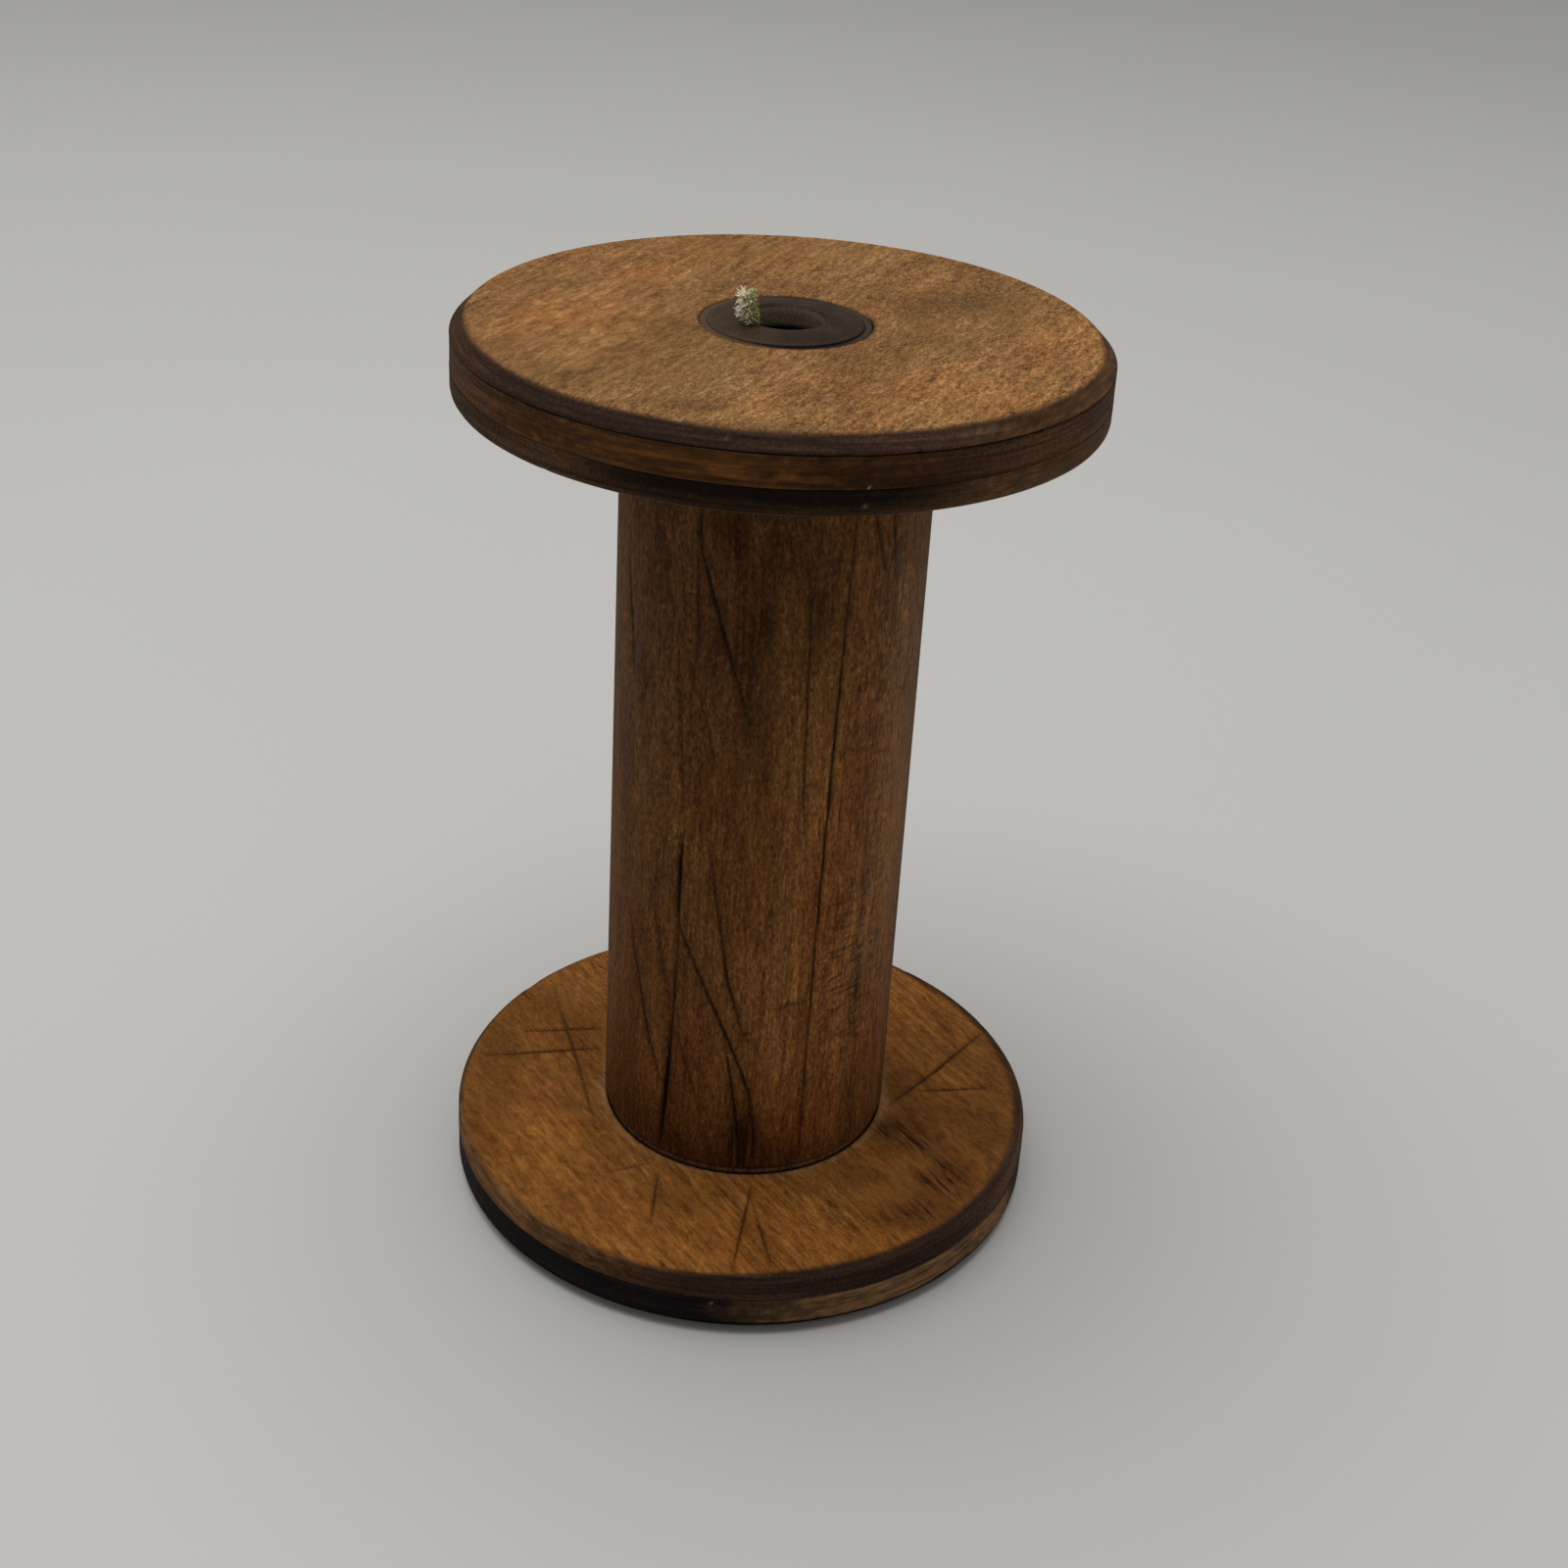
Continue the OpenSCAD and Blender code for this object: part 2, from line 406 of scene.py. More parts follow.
def oldWood(name, look):
    # solid wood: each layer is noise drawn out along the grain, and their sum picks the colour from a ramp;
    # marks on the mesh then lay soil, cuts and scuffs, with painted shade and painted sheen, and glow as
    # painted light over it
    mix = woodMix
    material, shader, place = newMaterial(name, **{"Specular IOR Level": look["gloss"]})
    along = (0, look.get("tilt", 0), look.get("grain", 0))

    def grains(kind, size, turn):
        detail, rough, shift, twist = mix[kind]
        return noise(place, turn, size, detail, rough, look["shift"] + shift, twist)

    layers = [noise(place, along, (length, width, width), detail, mix["layerRough"],
                    look["shift"] + mix["layerShift"] * n, twist)
              for n, (length, width, detail, _, twist) in enumerate(look["layers"])]
    _, streak, fleck, fine = layers
    swings = [layer - mix["middle"] for layer in layers]
    tones = [swing * layer[3] for swing, layer in zip(swings, look["layers"])]
    calm = mark(place, "calm")
    value = mix["middle"] + tones[0] + tones[1] + (tones[2] + tones[3]) * (1 - calm * look["calmCut"])
    mottle = grains("mottle", look["mottleSize"], along)
    value = value + (mottle - mix["middle"]) * calm * look["mottleShare"]
    warm = grains("warm", look["warmSize"], along).band(*mix["warmBand"])
    colour = value.ramp(look["stops"]).blend(look["warmColour"], warm * look["warmStrength"], "OVERLAY")
    if "rimEnds" in look:
        colour = colour.blend(rimColour(place, look, layers, grains), mark(place, "rim"))

    # soil, and painted shade near the barrel's heads
    soil = mark(place, "soil")
    even, streaky, speckled = look["grimeMix"]
    grime = soil * (even + streak.band(*mix["grimeBand"]) * streaky + swings[2] * speckled)
    colour = colour.blend(look["soilTint"], grime.maths("MULTIPLY", grime, 1.0, True), "MULTIPLY")
    # glow brightens places as painted light
    colour = colour.blend(look["glowTint"], mark(place, "glow"), "MULTIPLY")
    if "blushTint" in look:
        colour = colour.blend(look["blushTint"], mark(place, "blush"), "MULTIPLY")
        dash = grains("dash", look["dashSize"], look["dashTurn"]).band(*mix["dashBand"])
        colour = colour.blend(look["cutColour"], mark(place, "dash") * dash)
    # cuts, and painted shade on the rims, the neck and round the flange
    colour = colour.blend(look["cutColour"], mark(place, "cut") * streak.band(*mix["cutBand"]))
    # scuffs, and painted sheen along the barrel's sides
    scuff = mark(place, "scuff")
    colour = colour.blend(look["scuffColour"], scuff * fleck.band(*mix["scuffBand"]))
    feed(shader, "Base Color", colour)

    sheen = mixed((swings[1], swings[2], soil, scuff), mix["sheenMix"], look["rough"])
    feed(shader, "Roughness", sheen.maths("MINIMUM", sheen, mix["sheenTop"]))
    height = mixed((fleck, fine, streak), mix["heightMix"])
    feed(shader, "Normal", height.bump(look["bump"], mix["bumpDepth"]))
    return material


def shades(*steps):
    # ramp stops from (place, red, green, blue)
    return [(place, tint(*rgb)) for place, *rgb in steps]


# Head wood. The grain of each ply crosses its neighbour's, so dark end grain swaps sides from ply to ply

headWood = {
    "rough": 0.72, "gloss": 0.06, "bump": 0.35, "endBand": (0.12, 0.62),
    # broad tone, streaks, flecks and fibre: length and width in mm along the grain, detail, weight, curl
    "layers": [(46, 15, 3, 0.3, 0), (15, 1.6, 3, 0.42, 0.2),
               (2.7, 1.15, 3, 0.84, 0.5), (0.9, 0.55, 2, 0.78, 0.4)],
    # soil and painted shade: shares laid evenly, by the streaks and by the flecks; calm places: weaker
    # flecks, soft mottle
    "grimeMix": (0.5, 0.4, 1.3), "calmCut": 0.62, "mottleSize": (6.5, 3.2, 3.2), "mottleShare": 0.6,
    "stops": shades((0.2, 64, 42, 19), (0.42, 116, 82, 46), (0.58, 145, 104, 62), (0.8, 184, 141, 92)),
    "warmSize": (30, 12, 12), "warmColour": tint(160, 104, 62), "warmStrength": 0.18,
    # the soil and cut colours also lay painted shade, and the glow tint painted light
    "soilTint": tint(163, 170, 176), "glowTint": (1.25, 1.15, 0.95, 1), "cutColour": tint(18, 10, 5),
    "scuffColour": tint(190, 180, 166),
}
lowerWood = {
    "layers": [(46, 15, 3, 0.32, 0), (15, 1.6, 3, 0.5, 0.1),
               (4.6, 0.95, 3, 0.66, 0.2), (1.2, 0.5, 2, 0.6, 0.3)],
    "stops": shades((0.2, 68, 38, 13), (0.42, 116, 74, 31), (0.58, 144, 94, 43), (0.8, 180, 126, 66)),
    "soilTint": tint(110, 99, 106), "scuffColour": tint(176, 150, 118), "grimeMix": (0.45, 0.85, 1.0),
}
# the end grain of this ply's rim has a sharper border
sharpEnds = {"lower_middle_ply": (0.15, 0.40)}
# direction of each ply's grain in degrees
grainOf = {
    "upper_outer_ply": 68, "upper_middle_ply": 166, "upper_inner_ply": 60,
    "lower_inner_ply": -55, "lower_middle_ply": 35, "lower_outer_ply": -55,
}
# each ply's rim from dark to light: end grain, then side grain
rimStops = (0.36, 0.5, 0.64)
rimTones = {
    "upper_outer_ply": ((27, 17, 12), (43, 28, 20), (63, 43, 31), (32, 21, 13), (50, 33, 19), (73, 49, 28)),
    "upper_middle_ply": ((37, 23, 14), (57, 37, 24), (79, 54, 36), (41, 24, 12), (70, 44, 21), (105, 67, 33)),
    "upper_inner_ply": ((34, 22, 14), (53, 36, 23), (74, 53, 36), (44, 29, 18), (66, 46, 29), (90, 64, 40)),
    "lower_inner_ply": ((26, 17, 13), (42, 28, 21), (60, 42, 31), (40, 26, 15), (64, 43, 24), (92, 64, 36)),
    "lower_middle_ply": ((9, 7, 8), (17, 14, 14), (33, 26, 23), (54, 39, 26), (98, 71, 46), (138, 103, 70)),
    "lower_outer_ply": ((24, 18, 15), (38, 29, 24), (56, 44, 36), (34, 25, 19), (53, 40, 30), (76, 58, 44)),
}
barrelLook = {
    "rough": 0.7, "gloss": 0.06, "bump": 0.4, "tilt": math.pi / 2, "shift": 3.7,
    "layers": [(70, 10, 3, 0.38, 0), (26, 1.4, 3, 0.36, 0.2),
               (5.2, 0.8, 2, 0.44, 0.5), (1.4, 0.6, 1, 0.5, 0.4)],
    "grimeMix": (0.55, 0.6, 0.7), "calmCut": 0.15, "mottleSize": (2.8, 1.7, 1.7), "mottleShare": 0.5,
    "stops": shades((0.2, 37, 20, 9), (0.42, 79, 51, 25), (0.58, 109, 73, 38), (0.8, 152, 108, 64)),
    # dashes run almost level on the right of the front
    "dashTurn": (0, math.radians(-3), math.radians(45)), "dashSize": (5, 1.2, 1.2),
    "blushTint": (1.05, 0.82, 0.6, 1),
    "warmSize": (60, 14, 14), "warmColour": tint(136, 84, 56), "warmStrength": 0.3,
    # the soil and cut colours also lay painted shade, the glow tint painted light, and the scuff colour
    # painted sheen
    "soilTint": tint(110, 97, 98), "glowTint": (2.0, 1.85, 1.6, 1), "cutColour": tint(16, 8, 4),
    "scuffColour": tint(150, 132, 110),
}


def headLook(node):
    stops = [(place, tint(*rgb)) for place, rgb in zip(rimStops * 2, rimTones[node])]
    first, step = woodMix["plyShift"]
    look = dict(headWood, grain=math.radians(grainOf[node]), shift=first + step * sorted(grainOf).index(node),
                rimEnds=stops[:3], rimSides=stops[3:])
    if node.startswith("lower"):
        look.update(lowerWood)
    look["endBand"] = sharpEnds.get(node, look["endBand"])
    return look


def finishPiece(piece, node, material):
    piece.data.materials.append(material)
    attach(piece, "root")
    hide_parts(node)
    print("made", piece.name, len(piece.data.polygons), "faces")
    return piece


# Barrel: marks by angle from the front in degrees and level in mm; soft spots give half sizes and strength

barrelMarks = {
    "cuts": [
        # points, half width, depth, shade
        ([(30, 211), (29.5, 198), (27, 145), (25, 90), (23.6, 21)], 0.46, 0.45, 0.88),
        ([(-27, 207), (-25.3, 189), (-4.2, 146)], 0.56, 0.35, 0.9),
        ([(-64, 184), (-55.5, 148)], 0.7, 0.3, 1.0),
        ([(-28, 206), (-25, 167), (-27.5, 150)], 0.4, 0.25, 0.6),
        ([(12, 190), (14.6, 176), (16.3, 126), (18.8, 112)], 0.42, 0.3, 0.7),
        ([(35, 204), (44.5, 182)], 0.55, 0.25, 0.85),
        ([(46, 204), (49, 182)], 0.55, 0.25, 0.9),
        ([(-49, 211), (-49, 196)], 0.5, 0.35, 0.9),
        ([(-28.5, 115), (-29.3, 100), (-29, 88)], 0.75, 0.7, 1.0),
        ([(-31, 98), (-30, 91), (-25, 84), (-18.5, 75), (-9.4, 62.4), (-3.1, 52.7), (2.2, 43), (6.2, 24)],
         0.58, 0.35, 0.92),
        ([(-30.5, 146), (-28.3, 114)], 0.34, 0.2, 0.5),
        ([(-17, 112), (-13.6, 97), (-8.6, 79)], 0.46, 0.25, 0.75),
        ([(-11.5, 90), (-8.5, 77), (-0.6, 59)], 0.52, 0.35, 0.9),
        ([(-55, 88), (-49.5, 66.6)], 0.45, 0.2, 0.6),
        ([(-53, 80), (-41, 51.5), (-32.5, 38)], 0.55, 0.3, 0.9),
        ([(-28.5, 92), (-29.6, 64), (-30.6, 48)], 0.45, 0.35, 0.75),
        ([(-30, 60), (-31.6, 42), (-33.8, 20)], 0.95, 0.9, 1.0),
        ([(-8.5, 60), (-3.1, 38.8), (0.6, 20)], 0.5, 0.35, 0.9),
        ([(10, 68.5), (23, 70)], 0.62, 0.2, 0.65),
        ([(-2, 61.2), (2, 61)], 0.7, 0.25, 0.7),
        ([(44, 122), (45.9, 104), (45.9, 82.6), (46.1, 66.7), (47, 50)], 0.46, 0.2, 0.6),
        ([(-44.3, 158), (-51, 145)], 0.42, 0.2, 0.5),
        ([(-33.2, 166), (-30.9, 135)], 0.36, 0.2, 0.45),
        ([(-24.2, 154), (-14.9, 132)], 0.46, 0.2, 0.45),
        ([(4, 199), (8.5, 186)], 0.36, 0.2, 0.5),
        ([(17, 198), (14.6, 176)], 0.36, 0.2, 0.5),
        ([(45.8, 184), (46.3, 175)], 0.4, 0.2, 0.5),
        ([(-44.6, 102), (-32.8, 69)], 0.5, 0.2, 0.5),
        ([(-22, 65.3), (-14.6, 69)], 0.6, 0.15, 0.4),
        ([(-3.7, 59), (5.2, 58.8)], 0.6, 0.15, 0.35),
        ([(-29, 60), (-16.4, 36)], 0.52, 0.2, 0.5),
        ([(-39.6, 36), (-22.7, 23)], 0.6, 0.2, 0.45),
        ([(120, 190), (123, 120)], 0.5, 0.4, 0.8),
        ([(158, 95), (150, 40)], 0.6, 0.5, 0.85),
        ([(-150, 160), (-138, 118)], 0.5, 0.35, 0.7),
        ([(-105, 70), (-108, 28)], 0.6, 0.5, 0.85),
        ([(176, 205), (172, 150)], 0.4, 0.3, 0.6),
    ],
    "dashes": [(45, 66, 15, 22, 0.52), (52, 100, 14, 30, 0.32), (50, 150, 14, 26, 0.35), (34, 85, 8, 20, 0.3),
               (56, 190, 13, 18, 0.3)],
    "blush": [(-10, 22, 80, 26, 0.8), (60, 40, 20, 30, 0.3), (-25, 125, 22, 30, 0.35), (-50, 60, 20, 40, 0.4),
              (150, 60, 40, 60, 0.4)],
    # mottled places, painted sheen along both sides, soil, and painted light brightest on the right
    "curls": [(-38, 105, 26, 48, 0.9), (46, 110, 14, 50, 0.6)],
    "pales": [(64, 140, 20, 75, 0.26), (-66, 150, 18, 60, 0.09), (-50, 175, 10, 20, 0.04)],
    "stains": [
        (-8, 170, 12, 13, 0.28), (-12, 182, 26, 20, 0.38), (-16, 160, 14, 14, 0.35), (2, 196, 30, 12, 0.4),
        (18, 172, 10, 12, 0.3), (0, 30, 9, 11, 0.85), (-2, 142, 12, 12, 0.32), (-40, 30, 18, 8, 0.3),
        (140, 150, 30, 40, 0.3), (-130, 90, 30, 40, 0.3), (-30, 60, 10, 30, 0.25), (-60, 120, 12, 60, 0.15),
        (90, 190, 60, 10, 0.3), (180, 195, 60, 10, 0.3), (-100, 195, 50, 10, 0.3), (-55, 110, 16, 90, 0.22),
        (-10, 24, 40, 9, 0.3), (20, 176, 5, 8, 0.3), (0, 155, 8, 8, 0.32), (-10, 55, 8, 12, 0.2),
        (48, 37, 20, 9, 0.3), (-58, 32, 14, 12, 0.25), (21, 160, 7, 22, 0.24), (-1, 171, 6, 7, 0.25),
        (-18, 197, 7, 7, 0.35),
    ],
    "glows": [
        (10, 150, 9, 24, 0.15), (24, 105, 14, 45, 0.4), (1, 70, 8, 30, 0.65), (28, 60, 14, 36, 0.58),
        (45, 130, 20, 90, 0.62), (60, 60, 20, 50, 0.35), (38, 118, 12, 28, 0.58), (180, 60, 40, 40, 0.12),
        (63, 130, 10, 90, 0.55), (-63, 115, 9, 80, 0.28), (-30, 52, 9, 16, 0.32), (-20, 62, 9, 26, 0.15),
        (-35, 82, 9, 16, 0.18), (40, 80, 8, 24, 0.18), (44, 195, 8, 9, 0.25),
    ],
}


barrelWorn = {
    # in mm inside the barrel's radius: where marks start and are full
    "bodyBand": (0.05, 0.02), "neckBand": (0.1, 0.6),
    # darker near each head, a painted shadow under the upper one: where it starts and is full, in mm from the
    # head, and its tone
    "footSoil": (14, 1, 0.4), "headSoil": (15, 5, 0.8),
    # side of the painted shadow under the upper head: turn, band of the cosine; its share elsewhere
    "soilSide": (0.35, (0.3, 0.8)), "soilLeast": 0.4,
    # neck: half height and tone of its dark lines; place under its top, half height and tone of a pale band
    # the top neck line is painted shade under the body's edge
    "topLine": (0.75, 0.9), "headLine": (0.35, 0.8), "paleBand": (1.5, 0.5, 0.3),
    # levels where the mottle comes in; turning ripple: mean and swing in mm, seed, waves
    "calmBand": (115, 165), "ripple": (0.07, 0.05, 5, 9),
    "columns": 340, "crowd": 0.55, "arcSteps": 3,
}


def barrelWear(r, z, angle):
    # knife cuts, faint turning ripples, stains, and dark and pale lines on the neck
    # marks also lay painted shade, painted light and painted sheen
    worn, places = barrelWorn, barrelMarks
    degrees = np.degrees(angle)
    scale = math.radians(barrelR)
    lines = [([(a * scale, level) for a, level in path], *rest) for path, *rest in places["cuts"]]
    sunk, shade = strokes(angle * barrelR, z, lines)
    inside = barrelR - r
    onBody = smoothStep(inside, *worn["bodyBand"])
    neck = smoothStep(inside, *worn["neckBand"])
    start, full, footDarkTone = worn["footSoil"]
    foot = smoothStep(z - innerDepth, start, full)
    start, full, headShadowTone = worn["headSoil"]
    least = worn["soilLeast"]
    shaded = least + (1 - least) * towards(angle, *worn["soilSide"])
    shadow = shaded * smoothStep(innerFace - z, start, full)
    neckTop = innerDepth + joinery["neckGap"]
    neckLines = neck * sum(tone * bell(z, level, height) for level, (height, tone) in (
        (neckTop, worn["topLine"]), (innerDepth, worn["headLine"])))
    under, height, paleTone = worn["paleBand"]
    paleAndSheen = onBody * spots(degrees, z, places["pales"]) + paleTone * neck * bell(z, neckTop - under, height)
    depth = onBody * (sunk + waver(angle, *worn["ripple"]))
    marks = {
        # knife cuts and neck lines, the top neck line painted shade
        "cut": onBody * shade + neckLines,
        # stains, darker towards the lower head, and a painted shadow under the upper head
        "soil": spots(degrees, z, places["stains"]) + footDarkTone * foot + headShadowTone * shadow,
        # painted light, brightest on the right side
        "glow": spots(degrees, z, places["glows"]),
        "blush": spots(degrees, z, places["blush"]),
        "dash": spots(degrees, z, places["dashes"]),
        "calm": smoothStep(z, *worn["calmBand"]) + spots(degrees, z, places["curls"]),
        # painted sheen along both sides, and the neck's pale band
        "scuff": paleAndSheen,
    }
    return depth, {key: np.clip(values, 0, 1) for key, values in marks.items()}


def makeBarrel():
    j = joinery
    low, high = innerDepth, innerFace
    seatLow = lowerBushCrest + j["lipRise"] + j["flangeT"]
    sleeveLow = lowerBushEnd + j["endRoom"]
    sleeveHigh = bushEnd - j["endRoom"]
    # radius, level, rounding of the corner, step along the side after it
    corners = [
        (flangeHoleR, barrelFoot, 0.1, 3), (j["spigotR"], barrelFoot, 0.3, 4),
        (j["spigotR"], socketFloor, 0.1, 4), (neckR, socketFloor, 0.2, 0.3),
        (neckR, low + j["neckGap"], 0.15, 0.4), (barrelR, low + j["neckGap"], 0.35, 0.95),
        (barrelR, high - j["neckGap"], 0.35, 0.4), (neckR, high - j["neckGap"], 0.15, 1.5),
        (neckR, topFace - socketFloor, 0.2, 4), (j["spigotR"], topFace - socketFloor, 0.1, 4),
        (j["spigotR"], barrelHead, 0.3, 4), (sleeveHoleR, barrelHead, 0.1, 6),
        (sleeveHoleR, sleeveHigh, 0.1, 1), (pilotR, sleeveHigh, 0.1, 12),
        (pilotR, sleeveLow, 0.1, 1), (sleeveHoleR, sleeveLow, 0.1, 6),
        (sleeveHoleR, seatLow, 0.1, 4), (flangeHoleR, seatLow, 0.1, 2),
    ]
    angles = turnAngles(barrelWorn["columns"], barrelWorn["crowd"])
    piece = turned("turned_barrel", corners, angles, barrelWear, barrelWorn["arcSteps"])
    return finishPiece(piece, "barrel", oldWood("barrelWood", barrelLook))


# Heads. A ply is outlined by depth from the head's outer face, and stands or hangs from there

def plyCorners(kind, level):
    # radius, depth, rounding of the corner, step along the side after it
    j = joinery
    if kind == "outer":
        outline = [
            (flangeHoleR, outerDepth, 0.1, 6), (flangeHoleR, 0, 0.5, 0.9),
            (headR - j["outerBevel"], 0, 2.2, 0.5), (headR, outerDepth - j["rimLand"], 0.5, 0.3),
            (headR, outerDepth, 0.1, 8),
        ]
    elif kind == "middle":
        outline = [
            (j["spigotHoleR"], middleDepth, 0.1, 4), (j["spigotHoleR"], outerDepth, 0.1, 8),
            (headR, outerDepth, 0.16, 0.5), (headR, middleDepth, 0.03, 8),
        ]
    else:
        outline = [
            (j["spigotHoleR"], socketFloor, 0.1, 4), (j["spigotHoleR"], middleDepth, 0.1, 8),
            (headR, middleDepth, 0.03, 0.5), (headR, innerDepth, j["innerEdgeR"], 0.55),
            (socketR, innerDepth, 0.35, 0.7), (socketR, socketFloor, 0.1, 3),
        ]
    return [(r, abs(level - depth), rounding, step) for r, depth, rounding, step in outline]


headMarks = {
    # faces by x and y in mm; rims by angle in degrees and depth in mm, but a scuff's half width is in mm
    # glows and lights are painted light, shadows are painted shade
    "upper_outer_ply": {
        "seed": 3,
        "soils": [
            (-24, -12, 16, 13, 0.35), (-30, -34, 14, 10, 0.2), (24, 20, 18, 14, 0.42), (44, 22, 16, 12, 0.58),
            (31, -8, 14, 9, 0.68), (17, -21, 12, 7, 0.5), (0, 26, 22, 8, 0.25), (-40, 22, 16, 8, 0.08),
            (-15, -61, 5, 2.4, 0.8), (-22, -60, 9, 6, 0.5), (-28, 50, 24, 8, 0.15), (45, 55, 14, 6, 0.3),
            (16, -30, 12, 8, 0.4), (-24, -6, 4, 2, 0.45), (-48, -46, 12, 10, 0.5), (4, -52, 26, 8, 0.3),
            (-4, -73, 18, 6, 0.9), (52, 30, 9, 24, 0.35), (-14, 40, 9, 14, 0.35), (-14, -32, 12, 14, 0.35),
            (52, 4, 7, 10, 0.4), (-60, -32, 8, 10, 0.4), (-20, 12, 6, 9, 0.35), (-10, 54, 8, 6, 0.3),
            (40, -52, 6, 4, 0.3), (30, 10, 5, 6, 0.42), (-20, -50, 8, 14, 0.25), (-10, -22, 5, 6, 0.4),
            (20, -40, 8, 8, 0.25), (12, 66, 16, 8, 0.3), (29, 4, 6, 5, 0.25),
        ],
        "glows": [(-47, -6, 16, 13, 0.8), (64, -2, 14, 24, 0.5), (36, -44, 22, 13, 0.6),
                  (-6, -60, 12, 6, 0.3), (-14, 50, 20, 9, 0.6), (-32, 36, 10, 10, 0.6),
                  (44, -30, 10, 8, 0.3)],
        "calm": [(-46, 4, 24, 34, 1.0), (-10, 60, 40, 12, 0.7), (-46, -36, 22, 22, 0.8)],
        "cuts": [([(-22, -47), (10, -28)], 0.5, 0.0, 0.12), ([(-40, -30), (-22, -2)], 0.6, 0.0, 0.1)],
        "scratches": [([(-18.5, -55.5), (-11, -42)], 0.5, 0, 0.16),
                      ([(-30, -36.7), (-23.7, -22)], 0.6, 0, 0.1), ([(-35, -46), (-31, -36)], 0.5, 0, 0.1)],
        "scuffs": [(-8, 1.6, 0.35, 0.28, 0.22), (34, 1.4, 5, 0.5, 0.08)],
        "lights": [(75, 2, 28, 20, 1.3), (26, 2, 18, 20, 0.7), (-72, 2, 16, 20, 0.6)],
    },
    "upper_middle_ply": {
        "seed": 4,
        "glows": [(-12, -75, 22, 10, 0.6)],
        "shadows": [(12, 7.5, 8, 3.5, 0.5), (23, 9.5, 8, 2.5, 0.45), (-42, 6, 10, 3, 0.2),
                    (0, 11, 60, 1, 0.25)],
        "lights": [(48, 7, 11, 20, 0.9), (70, 7, 12, 20, 0.65), (-68, 7, 16, 20, 0.9)],
        "scuffs": [(14.1, 10.5, 0.3, 0.28, 0.5), (59.5, 9.2, 0.5, 0.35, 0.3), (64, 8.2, 0.5, 0.25, 0.25)],
    },
    "upper_inner_ply": {
        "seed": 5,
        "scuffs": [(13.7, 14.6, 0.45, 0.35, 0.3)],
        "lights": [(48, 14, 22, 20, 0.85), (72, 14, 10, 20, 0.45), (-46, 14, 20, 20, 0.7)],
        "cuts": [([(-60, 12), (-41, 20)], 0.5, 0.3, 0.7), ([(44, -30), (60, -22)], 0.5, 0.3, 0.6),
                 ([(10, 45), (18, 70)], 0.5, 0.3, 0.7), ([(-30, -44), (-48, -50)], 0.5, 0.3, 0.6)],
    },
    "lower_inner_ply": {
        "seed": 6,
        "soils": [(46, -20, 8, 6, 0.7), (41, -14, 5, 6, 0.35), (53, -34, 8, 8, 1.0), (40, -50, 7, 5, 0.6),
                  (42, 6, 5, 7, 0.5), (36, -16, 5, 5, 0.5), (48, -46, 7, 6, 0.5),
                  (60, -52, 10, 8, 0.6), (48, -8, 9, 7, 0.4), (66, -14, 8, 14, 0.4), (30, -36, 7, 7, 0.35),
                  (-46, -12, 8, 4, 0.25), (-44, 22, 8, 10, 0.3), (0, 55, 36, 12, 0.2), (-68, 8, 9, 40, 0.4),
                  (-54, 34, 9, 14, 0.3), (-50, 0, 6, 8, 0.2), (-16, -50, 9, 7, 0.2), (70, 20, 6, 16, 0.3)],
        "calm": [(-40, -30, 55, 60, 0.9), (54, -16, 24, 44, 1.0)],
        "glows": [(-52, -28, 18, 22, 0.6), (-10, -60, 24, 12, 0.6), (30, -60, 16, 8, 0.5),
                  (-55, 18, 10, 20, 0.4), (42, 44, 8, 14, 1.0), (52, 0, 7, 12, 0.35)],
        "cuts": [
            ([(-62, 19.5), (-39.5, 23)], 0.5, 0.3, 0.8), ([(-71, 7.5), (-39, 13.8)], 0.55, 0.35, 0.85),
            ([(-56, 41), (-46, 8.3), (-37.5, -22)], 0.5, 0.3, 0.65),
            ([(68, 32), (52.5, 10.9), (38.8, -6)], 0.6, 0.4, 0.85),
            ([(47, 1.5), (67, 4.6)], 0.5, 0.3, 0.8), ([(-20.4, -38), (-21, -57)], 0.5, 0.3, 0.75),
            ([(3.5, -41), (-0.2, -73)], 0.5, 0.3, 0.75), ([(4, -48), (9.4, -71.5)], 0.45, 0.3, 0.7),
            ([(-34, -39), (-23, -34.4)], 0.4, 0.2, 0.5), ([(-18, -70), (-16, -73.5)], 0.6, 0.4, 0.8),
            ([(10, 48), (22, 72)], 0.5, 0.3, 0.8), ([(-20, 52), (-40, 58)], 0.5, 0.3, 0.7),
        ],
        "lights": [(-54, 14, 24, 20, 1.4), (-73, 14, 9, 20, 0.5), (69, 14, 14, 20, 2.5), (5, 14, 14, 20, 0.3),
                   (46, 14, 10, 20, 0.3)],
    },
    "lower_middle_ply": {
        "seed": 7,
        "scuffs": [(-3.7, 9.5, 0.36, 0.32, 0.5)],
        "shadows": [(8, 7.5, 7, 4, 0.4)],
        "lights": [(38, 7, 22, 20, 0.25), (70, 7, 13, 20, 1.0), (-73, 7, 9, 20, 0.5)],
    },
    "lower_outer_ply": {
        "seed": 8,
        "soils": [(0, 0, 40, 40, 0.3)],
        "glows": [(40, 30, 30, 30, 0.4)],
        "shadows": [(-5, 1.5, 26, 3, 0.55)],
        "lights": [(60, 2, 18, 20, 1.1), (-70, 2, 12, 20, 0.6)],
    },
}
noMarks = dict.fromkeys(("soils", "glows", "calm", "cuts", "scratches", "scuffs", "shadows", "lights"), ())
